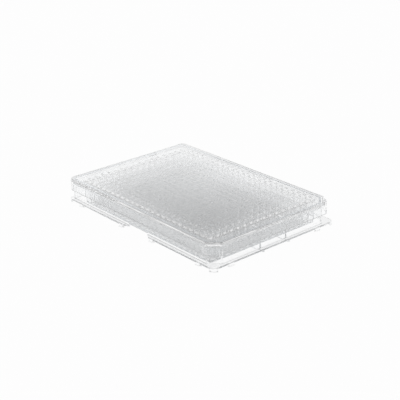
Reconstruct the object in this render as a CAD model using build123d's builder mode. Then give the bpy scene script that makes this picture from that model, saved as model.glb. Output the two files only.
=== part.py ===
"""A clear 384-well plate with its loose lid, for a laboratory bench.

The plate is one moulding: a block of square wells inside a hollow skirt, joined to it by a
thin deck and a few webs, with a thin flange around the foot that stands on small feet. The lid
is a second moulding, a flat sheet with a shallow skirt of its own, which only rests on the
plate's rim.

Frame: millimetres, +Z up, origin on the bench under the middle of the footprint. +X runs
along the rows to the last column, where both corners of skirt and lid are cut off. +Y runs
up the columns to the first row.
"""
import os
from math import radians, sqrt, tan

from build123d import *

os.makedirs("parts", exist_ok=True)

# ---------------------------------------------------------------- driving dimensions, mm
# Wells, which set the size of everything around them
well_columns = 24
well_rows = 16
well_pitch = 4.5
first_well_from_end = 12.13
first_well_from_side = 8.99
wall_between_mouths = 0.8
well_depth = 11.5
well_draft = 1.0
well_floor = 0.8
well_wall = 1.0
well_block_corner_radius = 1.5
block_border = 2.2
block_corner_radius = 2.3
block_clearance = 0.7

# Skirt, rim and deck of the plate
rim_rise = 0.2
rim_width = 1.1
deck_drop = 0.7
deck_thickness = 1.1
skirt_thickness = 1.1
skirt_draft = 1.0
skirt_corner_radius = 1.8
cut_corner = 5.8
smallest_corner = 0.2

# Flange around the foot, and the feet under it
flange_overhang = 2.0
flange_height = 2.41
flange_thickness = 0.9
flange_corner_radius = 3.18
flange_gap_length = 23.4
flange_gap_slant = 3.4
flange_gap_height = 3.0
foot_length = 3.4
foot_width = 1.4
foot_from_corner = 12.3

# Webs from the block's ends to the skirt and the flange
web_thickness = 1.0
web_foot = 0.8
web_root = 0.5
cut_end_web_spacing = 18.0
plain_end_web_spacing = 40.5

# Lid
lid_clearance = 0.4
lid_wall = 1.0
lid_sheet = 1.4
lid_skirt_depth = 5.6
lid_step = 0.25
lid_corner_step = 1.35
lid_ledge = 1.0
lid_edge = 0.3

# ---------------------------------------------------------------- sizes that follow
footprint_length = (well_columns - 1) * well_pitch + 2 * first_well_from_end
footprint_width = (well_rows - 1) * well_pitch + 2 * first_well_from_side

well_mouth = well_pitch - wall_between_mouths
block_length = (well_columns - 1) * well_pitch + well_mouth + 2 * block_border
block_width = (well_rows - 1) * well_pitch + well_mouth + 2 * block_border
well_block_length = (well_columns - 1) * well_pitch + well_mouth + 2 * well_wall
well_block_width = (well_rows - 1) * well_pitch + well_mouth + 2 * well_wall
block_top = block_clearance + well_floor + well_depth

plate_height = block_top + rim_rise
deck_top = plate_height - deck_drop
deck_underside = deck_top - deck_thickness
flange_underside = flange_height - flange_thickness

skirt_length = footprint_length - 2 * flange_overhang
skirt_width = footprint_width - 2 * flange_overhang

lid_foot = plate_height - lid_skirt_depth
lid_top = plate_height + lid_sheet


def outline(inset, cut_step=0):
    """Plan of the skirt's foot, drawn in by the inset, or let out where it is negative.

    The corners at the first column are round and those at the last column are cut off. The
    cuts move with the sides, and stand out further by the cut step.
    """
    corner_radius = max(skirt_corner_radius - inset, smallest_corner)
    cut_length = cut_corner - inset * (2 - sqrt(2)) - cut_step * sqrt(2)
    with BuildSketch(mode=Mode.PRIVATE) as plan:
        Rectangle(skirt_length - 2 * inset, skirt_width - 2 * inset)
        fillet(plan.vertices().group_by(Axis.X)[0], corner_radius)
        chamfer(plan.vertices().group_by(Axis.X)[-1], cut_length)
    return plan.sketch


# ---------------------------------------------------------------- plate
with BuildPart() as well_plate:
    # Skirt, solid at first, drawn in by its draft as it rises
    with BuildSketch(Plane.XY):
        add(outline(0))
    extrude(amount=plate_height, taper=skirt_draft)

    # The space under the deck
    with BuildSketch(Plane.XY):
        add(outline(skirt_thickness))
    extrude(amount=deck_underside, taper=skirt_draft, mode=Mode.SUBTRACT)

    # The shallow tray above the deck, inside the rim that carries the lid
    rim_inset = deck_top * tan(radians(skirt_draft)) + rim_width
    with BuildSketch(Plane.XY.offset(deck_top)):
        add(outline(rim_inset))
    extrude(amount=plate_height - deck_top, mode=Mode.SUBTRACT)

    # Flange, a thin ledge with nothing of the skirt below it
    with BuildSketch(Plane.XY):
        RectangleRounded(footprint_length, footprint_width, flange_corner_radius)
        add(outline(skirt_thickness), mode=Mode.SUBTRACT)
    extrude(amount=flange_height)
    with BuildSketch(Plane.XY):
        Rectangle(footprint_length, footprint_width)
    extrude(amount=flange_underside, mode=Mode.SUBTRACT)

    # Feet under the flange's round corners, as wide as the ones along its edge
    with BuildSketch(Plane.XY):
        corners_apart_x = footprint_length - flange_corner_radius
        corners_apart_y = footprint_width - flange_corner_radius
        with GridLocations(corners_apart_x, corners_apart_y, 2, 2):
            Rectangle(flange_corner_radius, flange_corner_radius)
        RectangleRounded(
            footprint_length, footprint_width, flange_corner_radius, mode=Mode.INTERSECT
        )
        RectangleRounded(
            footprint_length - 2 * foot_width,
            footprint_width - 2 * foot_width,
            flange_corner_radius - foot_width,
            mode=Mode.SUBTRACT,
        )
    extrude(amount=flange_height)

    # Feet along the flange's edge: near each corner and beside each gap
    end_foot_x = (footprint_length - foot_width) / 2
    side_foot_y = (footprint_width - foot_width) / 2
    corner_foot_x = footprint_length / 2 - foot_from_corner
    corner_foot_y = footprint_width / 2 - foot_from_corner
    gap_foot_x = (flange_gap_length + foot_length) / 2
    with BuildSketch(Plane.XY):
        with GridLocations(2 * end_foot_x, 2 * corner_foot_y, 2, 2):
            Rectangle(foot_width, foot_length)
        with GridLocations(2 * corner_foot_x, 2 * side_foot_y, 2, 2):
            Rectangle(foot_length, foot_width)
        with GridLocations(2 * gap_foot_x, 2 * side_foot_y, 2, 2):
            Rectangle(foot_length, foot_width)
    extrude(amount=flange_height)

    # Block of wells, with the border of its top plate standing out around it
    with BuildSketch(Plane.XY.offset(block_clearance)):
        RectangleRounded(well_block_length, well_block_width, well_block_corner_radius)
    extrude(amount=block_top - block_clearance)
    with BuildSketch(Plane.XY.offset(deck_underside)):
        RectangleRounded(block_length, block_width, block_corner_radius)
    extrude(amount=block_top - deck_underside)

    # Webs from the block's ends: as far as the edge under the flange, as far as the skirt above
    web_start = well_block_length / 2 - web_root
    flange_reach = footprint_length / 2 - web_start
    skirt_reach = (skirt_length - skirt_thickness) / 2 - web_start
    for end, spacing in [(1, cut_end_web_spacing), (-1, plain_end_web_spacing)]:
        low_middle = end * (web_start + flange_reach / 2)
        high_middle = end * (web_start + skirt_reach / 2)
        with BuildSketch(Plane.XY.offset(web_foot)):
            with Locations((low_middle, spacing / 2), (low_middle, -spacing / 2)):
                Rectangle(flange_reach, web_thickness)
        extrude(amount=flange_height - web_foot)
        with BuildSketch(Plane.XY.offset(flange_height)):
            with Locations((high_middle, spacing / 2), (high_middle, -spacing / 2)):
                Rectangle(skirt_reach, web_thickness)
        extrude(amount=deck_underside - flange_height)

    # Gap in the flange and the skirt's foot at the middle of each long side, its ends slanting
    # in from the flange's edge to the skirt
    gap_end = flange_gap_length / 2
    gap_root = gap_end - flange_gap_slant
    gap_back = skirt_width / 2 - 2 * skirt_thickness
    with BuildSketch(Plane.XY):
        with BuildLine():
            Polyline(
                (-gap_end, footprint_width / 2),
                (-gap_root, skirt_width / 2),
                (-gap_root, gap_back),
                (gap_root, gap_back),
                (gap_root, skirt_width / 2),
                (gap_end, footprint_width / 2),
                close=True,
            )
        make_face()
        mirror(about=Plane.XZ)
    extrude(amount=flange_gap_height, mode=Mode.SUBTRACT)

    # Wells, narrower at the bottom by their draft
    with BuildSketch(Plane.XY.offset(block_top)):
        with GridLocations(well_pitch, well_pitch, well_columns, well_rows):
            Rectangle(well_mouth, well_mouth)
    extrude(amount=-well_depth, taper=well_draft, mode=Mode.SUBTRACT)

well_plate.part.label = "well_plate"
export_step(well_plate.part, "parts/well_plate.step")

# ---------------------------------------------------------------- lid
with BuildPart() as lid:
    # Skirt, which stands out beyond the sheet at the two cut corners
    with BuildSketch(Plane.XY.offset(lid_foot)):
        add(outline(-lid_clearance - lid_wall, lid_corner_step))
    extrude(amount=lid_skirt_depth)

    # Its hollow: the whole inside as far as the ledges over the cut corners, then round the plate
    with BuildSketch(Plane.XY.offset(lid_foot)):
        add(outline(-lid_clearance, lid_corner_step))
    extrude(amount=lid_skirt_depth - lid_ledge, mode=Mode.SUBTRACT)
    with BuildSketch(Plane.XY.offset(lid_foot)):
        add(outline(-lid_clearance))
    extrude(amount=lid_skirt_depth, mode=Mode.SUBTRACT)

    # Sheet, stepped in a little from the skirt, with its upper edge eased
    with BuildSketch(Plane.XY.offset(plate_height)):
        add(outline(lid_step - lid_clearance - lid_wall))
    extrude(amount=lid_sheet)
    chamfer(lid.faces().sort_by(Axis.Z)[-1].edges(), lid_edge)

lid.part.label = "lid"
export_step(lid.part, "parts/lid.step")
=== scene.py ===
"""Clear 384-well plate with its lid on, dressed for a final render.

The plate and the lid are each one clear moulding. Both are drawn here as closed skins swept
round the plan of the real thing, so that their edges have the small radius that a mould leaves.
The plate's skin replaces the CAD node well_plate, and the lid's skin replaces the node lid.

Metres throughout, +Z up, the footprint centred on the origin and standing on the floor.
"""
import math

import bmesh
import bpy
from mathutils import Matrix, Vector


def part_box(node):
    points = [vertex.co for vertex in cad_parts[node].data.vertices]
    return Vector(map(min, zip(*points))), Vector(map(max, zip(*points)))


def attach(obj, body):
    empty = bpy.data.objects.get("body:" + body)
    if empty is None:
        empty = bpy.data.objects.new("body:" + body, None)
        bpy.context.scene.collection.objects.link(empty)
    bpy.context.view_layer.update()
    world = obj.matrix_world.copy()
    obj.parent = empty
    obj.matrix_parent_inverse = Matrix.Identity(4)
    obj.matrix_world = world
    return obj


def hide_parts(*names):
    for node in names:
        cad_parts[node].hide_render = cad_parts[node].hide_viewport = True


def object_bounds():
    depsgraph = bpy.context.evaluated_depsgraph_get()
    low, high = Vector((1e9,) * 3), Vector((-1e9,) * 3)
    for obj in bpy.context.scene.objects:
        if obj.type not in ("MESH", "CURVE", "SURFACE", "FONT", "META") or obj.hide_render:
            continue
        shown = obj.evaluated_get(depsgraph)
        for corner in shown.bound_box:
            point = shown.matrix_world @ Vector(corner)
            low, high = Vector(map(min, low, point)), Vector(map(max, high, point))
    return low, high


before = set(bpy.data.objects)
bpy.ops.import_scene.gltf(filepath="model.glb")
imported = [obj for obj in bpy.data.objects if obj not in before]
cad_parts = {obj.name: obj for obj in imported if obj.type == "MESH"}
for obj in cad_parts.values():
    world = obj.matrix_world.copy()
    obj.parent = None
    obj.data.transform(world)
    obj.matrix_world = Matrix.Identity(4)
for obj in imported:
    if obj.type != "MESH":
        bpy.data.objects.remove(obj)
cad_low, cad_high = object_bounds()
_, plate_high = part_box("well_plate")
lid_low, lid_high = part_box("lid")

MM = 0.001

# ---------------------------------------------------------------- sizes of the plate
plate_length = plate_high.x * 2
plate_width = plate_high.y * 2
plate_top = plate_high.z

well_columns = 24
well_rows = 16
well_pitch = 4.5 * MM
well_mouth = 3.7 * MM
well_foot = 3.33 * MM
well_depth = 11.5 * MM
well_corner_radius = 0.3 * MM
well_lip_radius = 0.1 * MM
well_floor_radius = 0.2 * MM

well_wall = 1.0 * MM
well_block_corner_radius = 1.5 * MM
block_border = 2.2 * MM
block_corner_radius = 2.3 * MM
block_foot = 0.7 * MM
rim_rise = 0.2 * MM
block_top = plate_top - rim_rise

deck_drop = 0.7 * MM
deck_thickness = 1.1 * MM
deck_top = plate_top - deck_drop
deck_underside = deck_top - deck_thickness
rim_width = 1.1 * MM

skirt_thickness = 1.1 * MM
skirt_draft = math.tan(math.radians(1.0))
skirt_corner_radius = 1.8 * MM
cut_corner = 5.8 * MM
cut_edge_radius = 0.5 * MM

flange_overhang = 2.0 * MM
flange_height = 2.41 * MM
flange_thickness = 0.9 * MM
flange_corner_radius = 3.18 * MM
flange_gap_length = 23.4 * MM
flange_gap_slant = 3.4 * MM
flange_gap_height = 3.0 * MM
flange_underside = flange_height - flange_thickness

foot_length = 3.4 * MM
foot_width = 1.4 * MM
foot_from_corner = 12.3 * MM

web_thickness = 1.0 * MM
web_foot = 0.8 * MM
web_end_inset = skirt_thickness * 0.6
cut_end_web_spacing = 18.0 * MM
plain_end_web_spacing = 40.5 * MM

mark_height = 1.45 * MM
mark_relief = 0.14 * MM
mark_type_size = 1.35
mark_lift = 0.01 * MM

# ---------------------------------------------------------------- sizes of the lid
lid_length = lid_high.x * 2
lid_width = lid_high.y * 2
lid_foot = lid_low.z
lid_top = lid_high.z
lid_wall = 1.0 * MM
lid_clearance = 0.4 * MM
lid_step = 0.25 * MM
lid_corner_step = 1.35 * MM
lid_ledge = 1.0 * MM
lid_corner_radius = skirt_corner_radius + lid_clearance + lid_wall
lid_edge_radius = 0.35 * MM

# ---------------------------------------------------------------- moulding
edge_radius = 0.2 * MM
root_radius = 0.3 * MM
foot_edge_radius = 0.15 * MM
lid_shoulder_radius = edge_radius / 2
# Corners seen from above are drawn no sharper than this
smallest_radius = 0.3 * MM
smallest_well_radius = 0.08 * MM
# Largest rounding at the ends of a cut, as a share of the cut
cut_edge_share = 0.3

# ---------------------------------------------------------------- drawing
# How far a skin runs on over a flat face before its next stretch begins
plate_margin = 0.45 * MM
lid_margin = 0.4 * MM
# How far it runs on past a rounded corner, in radii of that corner
past_round = 1.2
past_lip = 1.5
# How far the faces of feet and webs stay clear of the faces beside them
sunk = 0.03 * MM
arc_steps = 3
corner_points = 8
well_corner_points = 5
merge_distance = 0.002 * MM
shortest_edge = 0.001 * MM
height_slack = 0.001 * MM
outline_slack = 0.01 * MM
level_normal = 0.999

# ---------------------------------------------------------------- plastic
plastic_ior = 1.59
haze_scale = 420.0
haze_detail = 4.0
ripple_detail = 2.0

# ---------------------------------------------------------------- studio
camera_azimuth = 50.75
camera_elevation = 22.78
camera_roll = -1.90
camera_distance = 577.1 * MM
camera_aim = (1.1 * MM, 1.7 * MM)
camera_lens = 93.74
camera_sensor = 36.0
camera_clip = 0.01

floor_reach = 3.0
floor_paint = 0.9
floor_glow = 0.98
floor_glow_in_plastic = 0.97
# Painted shade: the floor under the block is painted darker towards these corner values, and only
# rays through the plastic see it
shade_start = -1 * MM
shade_full = -6 * MM
shade_by_front_corner = 0.32
shade_by_right_corner = 0.61
shade_by_back_corner = 0.85
shade_by_left_corner = 0.42
# Brightness of the surround by height, where 0 is the horizon and 1 is straight above
back_glow = (
    (0.0, 0.95),
    (0.33, 0.95),
    (0.37, 1.0),
    (0.41, 0.62),
    (0.45, 0.36),
    (0.6, 0.45),
    (1.0, 0.2),
)
side_glow = ((0.0, 0.25), (0.2, 0.25), (0.45, 0.25), (0.75, 0.1), (1.0, 0.1))
# Which way the back lies in x and y, and how far that way the sides pass over into it
back_way = (-0.774, 0.633)
back_edge = (0.3, 0.8)
# How many steps light may wander through the plastic before it is let out
wander_limit = 40
light_bounces = 64


# ================================================================ drawing a skin
def arc(centre_x, centre_y, radius, start_deg, end_deg, count):
    """Points on an arc, both ends included."""
    points = []
    for step in range(count):
        angle = math.radians(start_deg + (end_deg - start_deg) * step / (count - 1))
        points.append((centre_x + radius * math.cos(angle), centre_y + radius * math.sin(angle)))
    return points


def round_plan(half_length, half_width, radius, points=corner_points):
    """Rectangle with four round corners, anticlockwise from the -X -Y corner."""
    x = half_length - radius
    y = half_width - radius
    plan = arc(-x, -y, radius, 180, 270, points)
    plan += arc(x, -y, radius, 270, 360, points)
    plan += arc(x, y, radius, 0, 90, points)
    plan += arc(-x, y, radius, 90, 180, points)
    return plan


def cut_plan(half_length, half_width, radius, cut):
    """The same rectangle with its two +X corners cut off at 45 degrees."""
    half_points = corner_points // 2
    edge = min(cut_edge_radius, cut * cut_edge_share)
    tangent = edge * math.tan(math.radians(22.5))
    x = half_length - radius
    y = half_width - radius
    cut_x = half_length - cut - tangent
    cut_y = half_width - cut - tangent
    plan = arc(-x, -y, radius, 180, 270, corner_points)
    plan += arc(cut_x, -half_width + edge, edge, 270, 315, half_points)
    plan += arc(half_length - edge, -cut_y, edge, 315, 360, half_points)
    plan += arc(half_length - edge, cut_y, edge, 0, 45, half_points)
    plan += arc(cut_x, half_width - edge, edge, 45, 90, half_points)
    plan += arc(-x, y, radius, 90, 180, corner_points)
    return plan


def skirt_plan(inset):
    """Plan of the plate's skirt at its foot, drawn in by the inset."""
    half_length = plate_length / 2 - flange_overhang - inset
    half_width = plate_width / 2 - flange_overhang - inset
    radius = max(skirt_corner_radius - inset, smallest_radius)
    return cut_plan(half_length, half_width, radius, cut_corner - inset * (2 - math.sqrt(2)))


def flange_plan(inset):
    """Plan of the flange, drawn in by the inset."""
    half_length = plate_length / 2 - inset
    half_width = plate_width / 2 - inset
    return round_plan(half_length, half_width, flange_corner_radius - inset)


def around_wells(reach, radius):
    """Rectangle that stands out beyond the mouths of the outer wells by the reach."""
    half_length = (well_columns - 1) * well_pitch / 2 + well_mouth / 2 + reach
    half_width = (well_rows - 1) * well_pitch / 2 + well_mouth / 2 + reach
    return round_plan(half_length, half_width, radius)


def border_plan(inset):
    """Plan of the border around the wells' mouths, drawn in by the inset."""
    return around_wells(block_border - inset, block_corner_radius - inset)


def well_block_plan(inset):
    """Plan of the block of wells below the deck, drawn in by the inset."""
    return around_wells(well_wall - inset, well_block_corner_radius - inset)


def lid_plan(inset, corner_step=0.0):
    """Plan of the lid's skirt, drawn in by the inset, with its cuts drawn in by the corner step."""
    cut = cut_corner + (lid_clearance + lid_wall - inset) * (2 - math.sqrt(2))
    cut += (corner_step - lid_corner_step) * math.sqrt(2)
    radius = max(lid_corner_radius - inset, smallest_radius)
    return cut_plan(lid_length / 2 - inset, lid_width / 2 - inset, radius, cut)


def rounded(path):
    """Rounds the corners of a path of (inset, height, radius) and returns (inset, height)."""
    result = [path[0][:2]]
    for before, here, after in zip(path, path[1:], path[2:]):
        corner = Vector(here[:2])
        to_before = Vector(before[:2]) - corner
        to_after = Vector(after[:2]) - corner
        turn = to_before.angle(to_after)
        reach = here[2] / math.tan(turn / 2)
        start = corner + to_before.normalized() * reach
        end = corner + to_after.normalized() * reach
        middle = (to_before.normalized() + to_after.normalized()).normalized()
        centre = corner + middle * (here[2] / math.sin(turn / 2))
        for step in range(arc_steps + 1):
            share = step / arc_steps
            spoke = (start - centre).lerp(end - centre, share).normalized() * here[2]
            result.append(tuple(centre + spoke))
    result.append(path[-1][:2])
    return result


def loops_of(plan, path):
    """A loop of corners for each stage of the path, from the plan drawn in by the path's inset."""
    return [[(x, y, height) for x, y in plan(inset)] for inset, height in rounded(path)]


def skin(mesh, loops):
    """Joins each loop to the next with faces and returns the loops' vertices."""
    rows = [[mesh.verts.new(point) for point in loop] for loop in loops]
    count = len(rows[0])
    for upper, lower in zip(rows, rows[1:]):
        for here in range(count):
            there = (here + 1) % count
            mesh.faces.new((upper[here], lower[here], lower[there], upper[there]))
    return rows


def clean(mesh):
    """Merges what coincides and turns every face outwards."""
    bmesh.ops.remove_doubles(mesh, verts=mesh.verts, dist=merge_distance)
    bmesh.ops.dissolve_degenerate(mesh, edges=mesh.edges, dist=shortest_edge)
    bmesh.ops.recalc_face_normals(mesh, faces=mesh.faces)


def new_object(name, mesh):
    """Turns the drawn mesh into an object at the origin."""
    data = bpy.data.meshes.new(name)
    mesh.to_mesh(data)
    mesh.free()
    piece = bpy.data.objects.new(name, data)
    bpy.context.scene.collection.objects.link(piece)
    return piece


def remove(piece):
    """Deletes a helper object and its mesh."""
    data = piece.data
    bpy.data.objects.remove(piece)
    if data.users == 0:
        bpy.data.meshes.remove(data)


def bar(mesh, low, high):
    """Adds a closed bar between two opposite corners."""
    size = Vector(high) - Vector(low)
    place = Matrix.Translation((Vector(high) + Vector(low)) / 2) @ Matrix.Diagonal((*size, 1))
    bmesh.ops.create_cube(mesh, size=1.0, matrix=place)


def apply_boolean(piece, tool, operation):
    """Joins the tool to the piece, or cuts it away, and deletes the tool."""
    step = piece.modifiers.new("step", "BOOLEAN")
    step.operation = operation
    step.solver = "EXACT"
    step.use_self = operation == "UNION"
    step.object = tool
    result = evaluated_mesh(piece)
    piece.modifiers.remove(step)
    old = piece.data
    piece.data = result
    bpy.data.meshes.remove(old)
    remove(tool)


def evaluated_mesh(piece):
    """The mesh that the piece's modifiers make."""
    bpy.context.view_layer.update()
    graph = bpy.context.evaluated_depsgraph_get()
    return bpy.data.meshes.new_from_object(piece.evaluated_get(graph))


# ================================================================ plate
def plate_shell():
    """Skirt, rim, deck, flange and block as one closed skin, its wells still filled in."""
    rim_inset = deck_top * skirt_draft + rim_width
    top_inset = plate_top * skirt_draft
    inner_foot = skirt_thickness + flange_underside * skirt_draft
    inner_top = skirt_thickness + deck_underside * skirt_draft
    block_edge = [
        (plate_margin, block_top, 0),
        (0, block_top, edge_radius),
        (0, deck_top, root_radius),
        (-plate_margin, deck_top, 0),
    ]
    rim_and_skirt = [
        (rim_inset + plate_margin, deck_top, 0),
        (rim_inset, deck_top, root_radius),
        (rim_inset, plate_top, edge_radius),
        (top_inset, plate_top, edge_radius),
        (flange_height * skirt_draft, flange_height, root_radius),
        (-plate_margin, flange_height, 0),
    ]
    flange = [
        (plate_margin, flange_height, 0),
        (0, flange_height, edge_radius),
        (0, flange_underside, edge_radius),
        (plate_margin, flange_underside, 0),
    ]
    skirt_inside = [
        (skirt_thickness - plate_margin, flange_underside, 0),
        (inner_foot, flange_underside, edge_radius),
        (inner_top, deck_underside, root_radius),
        (inner_top + plate_margin, deck_underside, 0),
    ]
    block_outside = [
        (-plate_margin, deck_underside, 0),
        (0, deck_underside, root_radius),
        (0, block_foot, edge_radius),
        (plate_margin, block_foot, 0),
    ]
    loops = loops_of(border_plan, block_edge)
    loops += loops_of(skirt_plan, rim_and_skirt)
    loops += loops_of(flange_plan, flange)
    loops += loops_of(skirt_plan, skirt_inside)
    loops += loops_of(well_block_plan, block_outside)

    mesh = bmesh.new()
    rows = skin(mesh, loops)
    mesh.faces.new(rows[-1])

    # Top of the block: a rectangle for the wells, and a border around it in four faces
    half_length = well_columns * well_pitch / 2
    half_width = well_rows * well_pitch / 2
    along = [-half_length + well_pitch * step for step in range(well_columns)]
    across = [-half_width + well_pitch * step for step in range(well_rows)]
    sides = [
        [(x, -half_width) for x in along],
        [(half_length, y) for y in across],
        [(-x, half_width) for x in along],
        [(-half_length, -y) for y in across],
    ]
    side_verts = [[mesh.verts.new((x, y, block_top)) for x, y in side] for side in sides]
    ring = rows[0]
    middle = corner_points // 2
    for number, verts in enumerate(side_verts):
        inner = verts + [side_verts[(number + 1) % 4][0]]
        first = number * corner_points + middle
        outer = [ring[(first + step) % len(ring)] for step in range(corner_points + 1)]
        mesh.faces.new(outer + inner[::-1])
    mesh.faces.new([vert for verts in side_verts for vert in verts])
    clean(mesh)
    return new_object("plate_shell", mesh)


def webs():
    """Webs from the block's ends, low down to the flange's edge and higher up to the skirt."""
    mesh = bmesh.new()
    inside = (well_columns - 1) * well_pitch / 2 + well_mouth / 2 + well_wall / 2
    flange_reach = plate_length / 2 - sunk
    skirt_reach = plate_length / 2 - flange_overhang - web_end_inset
    web_top = deck_underside + deck_thickness / 2
    for end, spacing in ((1, cut_end_web_spacing), (-1, plain_end_web_spacing)):
        for side in (-1, 1):
            low_y = side * spacing / 2 - web_thickness / 2
            high_y = low_y + web_thickness
            for reach, low_z, high_z in (
                (flange_reach, web_foot, flange_height - flange_thickness / 2),
                (skirt_reach, web_foot + sunk, web_top),
            ):
                low_x, high_x = sorted((end * inside, end * reach))
                bar(mesh, (low_x, low_y, low_z), (high_x, high_y, high_z))
    return new_object("webs", mesh)


def corner_foot_plan(x, y, start, inset):
    """Plan of one corner foot: a quarter ring about x, y from the start angle, drawn in."""
    outer = flange_corner_radius - sunk
    inner = flange_corner_radius - foot_width
    turn = math.degrees(math.asin(inset / inner))
    ends = (start + turn, start + 90 - turn)
    outside = arc(x, y, outer - inset, *ends, corner_points)
    inside = arc(x, y, inner + inset, *ends, corner_points)
    return outside + inside[::-1]


def add_corner_feet(mesh, top):
    """Adds a foot under each round corner of the flange."""
    path = [(0, top, 0), (0, 0, foot_edge_radius), (foot_edge_radius * past_round, 0, 0)]
    middle_x = plate_length / 2 - flange_corner_radius
    middle_y = plate_width / 2 - flange_corner_radius
    for number, (x, y) in enumerate(((-1, -1), (1, -1), (1, 1), (-1, 1))):
        start = 180 + 90 * number

        def plan(inset):
            return corner_foot_plan(x * middle_x, y * middle_y, start, inset)

        rows = skin(mesh, loops_of(plan, path))
        mesh.faces.new(rows[0])
        mesh.faces.new(rows[-1])
    bmesh.ops.recalc_face_normals(mesh, faces=mesh.faces)


def feet():
    """Small feet under the flange: at each corner, near each corner and beside each gap."""
    mesh = bmesh.new()
    half_length = plate_length / 2 - sunk
    half_width = plate_width / 2 - sunk
    top = flange_height - flange_thickness / 2
    corner_x = plate_length / 2 - foot_from_corner
    corner_y = plate_width / 2 - foot_from_corner
    gap_x = (flange_gap_length + foot_length) / 2
    for across in (-1, 1):
        edge_y = sorted((across * half_width, across * (half_width - foot_width)))
        for along in (-corner_x, -gap_x, gap_x, corner_x):
            low = (along - foot_length / 2, edge_y[0], 0)
            high = (along + foot_length / 2, edge_y[1], top)
            bar(mesh, low, high)
        edge_x = sorted((across * half_length, across * (half_length - foot_width)))
        for along in (-corner_y, corner_y):
            low = (edge_x[0], along - foot_length / 2, 0)
            high = (edge_x[1], along + foot_length / 2, top)
            bar(mesh, low, high)
    bmesh.ops.bevel(
        mesh, geom=mesh.edges, offset=foot_edge_radius, segments=2, profile=0.5, affect="EDGES"
    )
    add_corner_feet(mesh, top)
    return new_object("feet", mesh)


def gap_cutters():
    """Clears the gap in the flange at the middle of each long side, its ends slanting inwards."""
    mesh = bmesh.new()
    beyond = 1 * MM
    slope = flange_gap_slant / flange_overhang
    gap_end = flange_gap_length / 2
    gap_root = gap_end - flange_gap_slant
    skirt_y = plate_width / 2 - flange_overhang
    plan = [
        (gap_end + beyond * slope, plate_width / 2 + beyond),
        (gap_root, skirt_y),
        (gap_root, skirt_y - skirt_thickness * 2),
    ]
    plan += [(-x, y) for x, y in plan[::-1]]
    for side in (-1, 1):
        rings = []
        for height in (-beyond, flange_gap_height):
            rings.append([mesh.verts.new((x, side * y, height)) for x, y in plan])
        mesh.faces.new(rings[0])
        mesh.faces.new(rings[1])
        for here in range(len(plan)):
            there = (here + 1) % len(plan)
            mesh.faces.new((rings[0][here], rings[0][there], rings[1][there], rings[1][here]))
    bmesh.ops.recalc_face_normals(mesh, faces=mesh.faces)
    return new_object("gap_cutters", mesh)


def one_well():
    """One cell of the block's top with its well: mouth, tapered walls and rounded floor."""
    half_pitch = well_pitch / 2
    half_mouth = well_mouth / 2
    half_foot = well_foot / 2
    path = [
        (-well_lip_radius * past_lip, 0.0, 0),
        (0.0, 0.0, well_lip_radius),
        (half_mouth - half_foot, -well_depth, well_floor_radius),
        (half_mouth - half_foot + well_floor_radius * past_round, -well_depth, 0),
    ]

    def plan(inset):
        radius = max(well_corner_radius - inset, smallest_well_radius)
        return round_plan(half_mouth - inset, half_mouth - inset, radius, well_corner_points)

    mesh = bmesh.new()
    rows = skin(mesh, loops_of(plan, path))
    mesh.faces.new(rows[-1])
    corners = [(-1, -1), (1, -1), (1, 1), (-1, 1)]
    cell = [mesh.verts.new((x * half_pitch, y * half_pitch, 0)) for x, y in corners]
    middle = well_corner_points // 2
    ring = rows[0]
    for number in range(4):
        first = number * well_corner_points + middle
        outer = [ring[(first + step) % len(ring)] for step in range(well_corner_points + 1)]
        mesh.faces.new(outer[::-1] + [cell[number], cell[(number + 1) % 4]])
    clean(mesh)
    for face in mesh.faces:
        if face.normal.z < -level_normal:
            face.normal_flip()
    return new_object("one_well", mesh)


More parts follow.
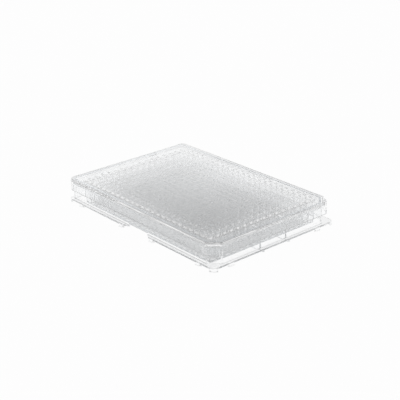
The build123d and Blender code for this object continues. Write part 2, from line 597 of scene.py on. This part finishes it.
def well_grid_tree():
    """Geometry Nodes that set one well at every crossing of a grid of rows and columns."""
    tree = bpy.data.node_groups.new("wells_in_rows", "GeometryNodeTree")
    tree.interface.new_socket("Geometry", in_out="INPUT", socket_type="NodeSocketGeometry")
    wanted = (
        ("Well", "NodeSocketObject", None),
        ("Columns", "NodeSocketInt", well_columns),
        ("Rows", "NodeSocketInt", well_rows),
        ("Pitch", "NodeSocketFloat", well_pitch),
        ("Height", "NodeSocketFloat", block_top),
        ("Material", "NodeSocketMaterial", None),
    )
    for name, kind, value in wanted:
        socket = tree.interface.new_socket(name, in_out="INPUT", socket_type=kind)
        if value is not None:
            socket.default_value = value
    tree.interface.new_socket("Geometry", in_out="OUTPUT", socket_type="NodeSocketGeometry")

    def node(kind, **settings):
        made = tree.nodes.new(kind)
        for key, value in settings.items():
            setattr(made, key, value)
        return made

    given = node("NodeGroupInput")
    result = node("NodeGroupOutput")
    lengths = []
    for name in ("Columns", "Rows"):
        spaces = node("ShaderNodeMath", operation="SUBTRACT")
        spaces.inputs[1].default_value = 1
        span = node("ShaderNodeMath", operation="MULTIPLY")
        tree.links.new(given.outputs[name], spaces.inputs[0])
        tree.links.new(spaces.outputs[0], span.inputs[0])
        tree.links.new(given.outputs["Pitch"], span.inputs[1])
        lengths.append(span.outputs[0])
    grid = node("GeometryNodeMeshGrid")
    tree.links.new(lengths[0], grid.inputs["Size X"])
    tree.links.new(lengths[1], grid.inputs["Size Y"])
    tree.links.new(given.outputs["Columns"], grid.inputs["Vertices X"])
    tree.links.new(given.outputs["Rows"], grid.inputs["Vertices Y"])
    lift = node("ShaderNodeCombineXYZ")
    tree.links.new(given.outputs["Height"], lift.inputs["Z"])
    raise_grid = node("GeometryNodeTransform")
    tree.links.new(grid.outputs["Mesh"], raise_grid.inputs["Geometry"])
    tree.links.new(lift.outputs[0], raise_grid.inputs["Translation"])
    well = node("GeometryNodeObjectInfo")
    tree.links.new(given.outputs["Well"], well.inputs["Object"])
    copies = node("GeometryNodeInstanceOnPoints")
    tree.links.new(raise_grid.outputs["Geometry"], copies.inputs["Points"])
    tree.links.new(well.outputs["Geometry"], copies.inputs["Instance"])
    real = node("GeometryNodeRealizeInstances")
    tree.links.new(copies.outputs["Instances"], real.inputs["Geometry"])
    finish = node("GeometryNodeSetMaterial")
    tree.links.new(real.outputs["Geometry"], finish.inputs["Geometry"])
    tree.links.new(given.outputs["Material"], finish.inputs["Material"])
    tree.links.new(finish.outputs["Geometry"], result.inputs["Geometry"])
    return tree


def set_inputs(modifier, values):
    """Sets a Geometry Nodes modifier's inputs by their names in the tree."""
    for item in modifier.node_group.interface.items_tree:
        if item.item_type == "SOCKET" and item.in_out == "INPUT" and item.name in values:
            modifier[item.identifier] = values[item.name]


def wells_mesh(material):
    """All the wells as one open mesh, still without the block around them."""
    well = one_well()
    carrier = new_object("wells", bmesh.new())
    modifier = carrier.modifiers.new("wells", "NODES")
    modifier.node_group = well_grid_tree()
    set_inputs(modifier, {"Well": well, "Material": material})
    result = evaluated_mesh(carrier)
    carrier.modifiers.remove(modifier)
    remove(carrier)
    remove(well)
    return result


def make_plate(material):
    """The whole plate: shell, webs, feet, gaps and wells in one closed mesh."""
    shell = plate_shell()
    apply_boolean(shell, webs(), "UNION")
    apply_boolean(shell, feet(), "UNION")
    apply_boolean(shell, gap_cutters(), "DIFFERENCE")
    mesh = bmesh.new()
    mesh.from_mesh(shell.data)
    remove(shell)
    reach_x = well_columns * well_pitch / 2 + outline_slack
    reach_y = well_rows * well_pitch / 2 + outline_slack
    covers = []
    for face in mesh.faces:
        flat = all(abs(vert.co.z - block_top) < height_slack for vert in face.verts)
        inside = all(abs(vert.co.x) < reach_x and abs(vert.co.y) < reach_y for vert in face.verts)
        if flat and inside:
            covers.append(face)
    bmesh.ops.delete(mesh, geom=covers, context="FACES")
    mesh.from_mesh(wells_mesh(material))
    clean(mesh)
    plate = new_object("clear_plate", mesh)
    plate.data.materials.clear()
    plate.data.materials.append(material)
    for face in plate.data.polygons:
        face.material_index = 0
    return plate


# ================================================================ lid
def make_lid(material):
    """Flat sheet and skirt, with a ledge over each cut corner where the skirt stands out."""
    skirt_top = plate_top
    ledge_underside = skirt_top - lid_ledge
    outside = [
        (lid_step + lid_margin, skirt_top, 0),
        (0, skirt_top, lid_shoulder_radius),
        (0, lid_foot, edge_radius),
        (lid_wall, lid_foot, edge_radius),
        (lid_wall, ledge_underside, 0),
    ]
    # The first and last of these only turn the corners next to them
    outer_loops = loops_of(lid_plan, outside)[1:-1]

    def sheet_plan(inset):
        return lid_plan(inset, lid_corner_step)

    sheet = [
        (lid_step + lid_edge_radius * past_lip, lid_top, 0),
        (lid_step, lid_top, lid_edge_radius),
        (lid_step, skirt_top, 0),
    ]
    hollow = [
        (lid_wall, ledge_underside, 0),
        (lid_wall, skirt_top, root_radius),
        (lid_wall + lid_margin, skirt_top, 0),
    ]
    loops = loops_of(sheet_plan, sheet)
    loops += outer_loops
    loops += loops_of(sheet_plan, hollow)
    mesh = bmesh.new()
    rows = skin(mesh, loops)
    mesh.faces.new(rows[0])
    mesh.faces.new(rows[-1])
    clean(mesh)
    lid = new_object("clear_lid", mesh)
    lid.data.materials.append(material)
    return lid


# ================================================================ row letters and column numbers
def raised_text(words, x, y, height):
    """One raised word as a mesh, standing on the given height and centred on x, y."""
    curve = bpy.data.curves.new("mark", "FONT")
    curve.body = words
    curve.size = mark_height * mark_type_size
    curve.align_x = "CENTER"
    curve.align_y = "CENTER"
    curve.extrude = mark_relief / 2
    curve.resolution_u = 2
    source = bpy.data.objects.new("mark", curve)
    bpy.context.scene.collection.objects.link(source)
    source.location = (x, y, height + mark_relief / 2 + mark_lift)
    data = evaluated_mesh(source)
    data.transform(Matrix.Translation(source.location))
    bpy.data.objects.remove(source)
    bpy.data.curves.remove(curve)
    return data


def make_marks(material):
    """Raised letters for the rows and raised numbers for the columns, beside the outer wells."""
    end_x = (well_columns - 1) * well_pitch / 2 + well_mouth / 2 + block_border / 2
    side_y = (well_rows - 1) * well_pitch / 2 + well_mouth / 2 + block_border / 2
    mesh = bmesh.new()
    marks = []
    for row in range(well_rows):
        y = ((well_rows - 1) / 2 - row) * well_pitch
        for x in (-end_x, end_x):
            marks.append((chr(ord("A") + row), x, y))
    for column in range(well_columns):
        x = (column - (well_columns - 1) / 2) * well_pitch
        for y in (-side_y, side_y):
            marks.append((str(column + 1), x, y))
    for words, x, y in marks:
        data = raised_text(words, x, y, block_top)
        mesh.from_mesh(data)
        bpy.data.meshes.remove(data)
    clean(mesh)
    piece = new_object("row_and_column_marks", mesh)
    piece.data.materials.append(material)
    return piece


# ================================================================ materials
def moulded_surface_group():
    """Fine ripple and haze of a moulded clear part, on object coordinates."""
    group = bpy.data.node_groups.new("moulded_surface", "ShaderNodeTree")
    for name, value in (("Ripple Scale", 90.0), ("Haze Low", 0.01), ("Haze High", 0.05)):
        socket = group.interface.new_socket(name, in_out="INPUT", socket_type="NodeSocketFloat")
        socket.default_value = value
    for name in ("Height", "Roughness"):
        group.interface.new_socket(name, in_out="OUTPUT", socket_type="NodeSocketFloat")
    given = group.nodes.new("NodeGroupInput")
    result = group.nodes.new("NodeGroupOutput")
    place = group.nodes.new("ShaderNodeTexCoord")
    ripple = group.nodes.new("ShaderNodeTexNoise")
    ripple.inputs["Detail"].default_value = ripple_detail
    haze = group.nodes.new("ShaderNodeTexNoise")
    haze.inputs["Scale"].default_value = haze_scale
    haze.inputs["Detail"].default_value = haze_detail
    spread = group.nodes.new("ShaderNodeMapRange")
    group.links.new(place.outputs["Object"], ripple.inputs["Vector"])
    group.links.new(place.outputs["Object"], haze.inputs["Vector"])
    group.links.new(given.outputs["Ripple Scale"], ripple.inputs["Scale"])
    group.links.new(haze.outputs["Fac"], spread.inputs["Value"])
    group.links.new(given.outputs["Haze Low"], spread.inputs["To Min"])
    group.links.new(given.outputs["Haze High"], spread.inputs["To Max"])
    group.links.new(ripple.outputs["Fac"], result.inputs["Height"])
    group.links.new(spread.outputs["Result"], result.inputs["Roughness"])
    return group


def clear_plastic(name, surface, tint, ripple_scale, ripple_depth, haze):
    """Clear polystyrene with the moulded surface in its roughness and bump.

    Light that is still wandering inside after many reflections is let straight out.
    """
    material = bpy.data.materials.new(name)
    material.use_nodes = True
    nodes = material.node_tree.nodes
    links = material.node_tree.links
    shader = nodes["Principled BSDF"]
    shader.inputs["Base Color"].default_value = (*tint, 1.0)
    shader.inputs["Metallic"].default_value = 0.0
    shader.inputs["IOR"].default_value = plastic_ior
    shader.inputs["Transmission Weight"].default_value = 1.0
    texture = nodes.new("ShaderNodeGroup")
    texture.node_tree = surface
    texture.inputs["Ripple Scale"].default_value = ripple_scale
    texture.inputs["Haze Low"].default_value = haze[0]
    texture.inputs["Haze High"].default_value = haze[1]
    bump = nodes.new("ShaderNodeBump")
    bump.inputs["Strength"].default_value = 1.0
    bump.inputs["Distance"].default_value = ripple_depth
    links.new(texture.outputs["Roughness"], shader.inputs["Roughness"])
    links.new(texture.outputs["Height"], bump.inputs["Height"])
    links.new(bump.outputs["Normal"], shader.inputs["Normal"])
    path = nodes.new("ShaderNodeLightPath")
    too_long = nodes.new("ShaderNodeMath")
    too_long.operation = "GREATER_THAN"
    too_long.inputs[1].default_value = wander_limit
    links.new(path.outputs["Ray Depth"], too_long.inputs[0])
    way_out = nodes.new("ShaderNodeBsdfTransparent")
    choice = nodes.new("ShaderNodeMixShader")
    links.new(too_long.outputs[0], choice.inputs["Fac"])
    links.new(shader.outputs[0], choice.inputs[1])
    links.new(way_out.outputs[0], choice.inputs[2])
    links.new(choice.outputs[0], nodes["Material Output"].inputs["Surface"])
    return material


# ================================================================ studio
class Wiring:
    """Adds nodes to one shader tree: a value or a colour in, the output of the last node out."""

    def __init__(self, tree):
        self.nodes = tree.nodes
        self.links = tree.links

    def put(self, value, socket):
        """Links an output to the socket, or sets it to a number."""
        if isinstance(value, bpy.types.NodeSocket):
            self.links.new(value, socket)
        else:
            socket.default_value = value

    def math(self, operation, first, second=0.0, third=0.0):
        """One Math node on up to three values."""
        node = self.nodes.new("ShaderNodeMath")
        node.operation = operation
        for value, socket in zip((first, second, third), node.inputs):
            self.put(value, socket)
        return node.outputs[0]

    def spread(self, value, low, high, to_low, to_high, kind="LINEAR"):
        """Carries the value from one range over to another, and no further than its ends."""
        node = self.nodes.new("ShaderNodeMapRange")
        node.interpolation_type = kind
        for name, given in (
            ("Value", value),
            ("From Min", low),
            ("From Max", high),
            ("To Min", to_low),
            ("To Max", to_high),
        ):
            self.put(given, node.inputs[name])
        return node.outputs["Result"]

    def split(self, vector):
        """The three parts of a vector."""
        node = self.nodes.new("ShaderNodeSeparateXYZ")
        self.links.new(vector, node.inputs["Vector"])
        return node.outputs


def painted_shade_under_plate(wiring):
    """How bright the floor is painted under the block, as seen through it: a painted shade, darkest
    by the front corner.
    """
    place = wiring.nodes.new("ShaderNodeTexCoord")
    x, y, _ = wiring.split(place.outputs["Object"])
    half_length = (well_columns - 1) * well_pitch / 2 + well_mouth / 2 + well_wall
    half_width = (well_rows - 1) * well_pitch / 2 + well_mouth / 2 + well_wall
    past_end = wiring.math("SUBTRACT", wiring.math("ABSOLUTE", x), half_length)
    past_side = wiring.math("SUBTRACT", wiring.math("ABSOLUTE", y), half_width)
    edge = wiring.math("MAXIMUM", past_end, past_side)
    near = wiring.spread(x, -half_length, half_length, shade_by_left_corner, shade_by_front_corner)
    far = wiring.spread(x, -half_length, half_length, shade_by_back_corner, shade_by_right_corner)
    shade = wiring.spread(y, -half_width, half_width, near, far)
    return wiring.spread(edge, shade_start, shade_full, 1.0, shade, "SMOOTHSTEP")


def make_floor():
    """White floor under the plate, white to the camera, and with a soft painted shade under the
    block that shows only in the plastic.
    """
    mesh = bmesh.new()
    bmesh.ops.create_grid(mesh, x_segments=1, y_segments=1, size=floor_reach)
    floor = new_object("floor", mesh)
    material = bpy.data.materials.new("white_floor")
    material.use_nodes = True
    nodes = material.node_tree.nodes
    links = material.node_tree.links
    nodes.clear()
    wiring = Wiring(material.node_tree)
    output = nodes.new("ShaderNodeOutputMaterial")
    paint = nodes.new("ShaderNodeBsdfDiffuse")
    paint.inputs["Color"].default_value = (floor_paint, floor_paint, floor_paint, 1.0)
    path = nodes.new("ShaderNodeLightPath")
    in_plastic = wiring.math(
        "MAXIMUM", path.outputs["Is Glossy Ray"], path.outputs["Is Transmission Ray"]
    )
    share = wiring.math(
        "MULTIPLY_ADD",
        path.outputs["Is Camera Ray"],
        floor_glow,
        wiring.math("MULTIPLY", in_plastic, floor_glow_in_plastic),
    )
    # Painted shade under the block goes into the glow's colour; camera rays see plain white
    shade = wiring.math("MAXIMUM", painted_shade_under_plate(wiring), path.outputs["Is Camera Ray"])
    glow = nodes.new("ShaderNodeEmission")
    glow.inputs["Strength"].default_value = 1.0
    links.new(shade, glow.inputs["Color"])
    blend = nodes.new("ShaderNodeMixShader")
    links.new(share, blend.inputs["Fac"])
    links.new(paint.outputs[0], blend.inputs[1])
    links.new(glow.outputs[0], blend.inputs[2])
    links.new(blend.outputs[0], output.inputs["Surface"])
    floor.data.materials.append(material)
    return floor


def glow_by_height(wiring, height, stops_wanted):
    """A grey for each height of the surround, from its stops of height and brightness."""
    ramp = wiring.nodes.new("ShaderNodeValToRGB")
    stops = ramp.color_ramp.elements
    while len(stops) < len(stops_wanted):
        stops.new(0.5)
    for stop, (place, brightness) in zip(stops, stops_wanted):
        stop.position = place
        stop.color = (brightness, brightness, brightness, 1.0)
    wiring.links.new(height, ramp.inputs["Fac"])
    return ramp.outputs["Color"]


def make_world():
    """Soft surround: white low down at the back, greyer above, and darker to the other sides."""
    world = bpy.data.worlds.new("studio")
    bpy.context.scene.world = world
    world.use_nodes = True
    wiring = Wiring(world.node_tree)
    background = wiring.nodes["Background"]
    background.inputs["Strength"].default_value = 1.0
    place = wiring.nodes.new("ShaderNodeTexCoord")
    x, y, z = wiring.split(place.outputs["Generated"])
    back = glow_by_height(wiring, z, back_glow)
    sides = glow_by_height(wiring, z, side_glow)
    along_y = wiring.math("MULTIPLY", y, back_way[1])
    towards_back = wiring.math("MULTIPLY_ADD", x, back_way[0], along_y)
    brightness = wiring.spread(towards_back, *back_edge, sides, back, "SMOOTHSTEP")
    wiring.links.new(brightness, background.inputs["Color"])


def make_camera():
    """Three-quarter view over the corner with the cut, from a little above."""
    azimuth = math.radians(camera_azimuth)
    elevation = math.radians(camera_elevation)
    roll = math.radians(camera_roll)
    aim = Vector((*camera_aim, cad_high.z / 2))
    away = Vector((
        math.sin(azimuth) * math.cos(elevation),
        -math.cos(azimuth) * math.cos(elevation),
        math.sin(elevation),
    ))
    camera = bpy.data.cameras.new("camera")
    camera.lens = camera_lens
    camera.sensor_width = camera_sensor
    camera.clip_start = camera_clip
    holder = bpy.data.objects.new("camera", camera)
    turn = (-away).to_track_quat("-Z", "Y").to_matrix() @ Matrix.Rotation(roll, 3, "Z")
    holder.matrix_world = Matrix.Translation(aim + away * camera_distance) @ turn.to_4x4()
    bpy.context.scene.collection.objects.link(holder)
    bpy.context.scene.camera = holder


# ================================================================ putting it together
surface = moulded_surface_group()
plate_plastic = clear_plastic(
    "plate_plastic",
    surface,
    tint=(0.985, 0.988, 0.99),
    ripple_scale=60.0,
    ripple_depth=0.004 * MM,
    haze=(0.0, 0.01),
)
lid_plastic = clear_plastic(
    "lid_plastic",
    surface,
    tint=(0.99, 0.992, 0.994),
    ripple_scale=40.0,
    ripple_depth=0.004 * MM,
    haze=(0.0, 0.01),
)
mark_plastic = clear_plastic(
    "mark_plastic",
    surface,
    tint=(0.985, 0.988, 0.99),
    ripple_scale=300.0,
    ripple_depth=0.02 * MM,
    haze=(0.1, 0.25),
)

plate = make_plate(plate_plastic)
lid = make_lid(lid_plastic)
marks = make_marks(mark_plastic)
for piece, slot in ((plate, "plate_plastic"), (lid, "lid_plastic"), (marks, "plate_plastic")):
    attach(piece, "root")
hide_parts("well_plate")
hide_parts("lid")

make_floor()
make_world()
make_camera()

scene = bpy.context.scene
scene.view_settings.view_transform = "Standard"
scene.cycles.use_denoising = True
scene.cycles.denoising_input_passes = "RGB"
scene.cycles.max_bounces = light_bounces
scene.cycles.transmission_bounces = light_bounces
scene.cycles.glossy_bounces = light_bounces
scene.cycles.transparent_max_bounces = light_bounces
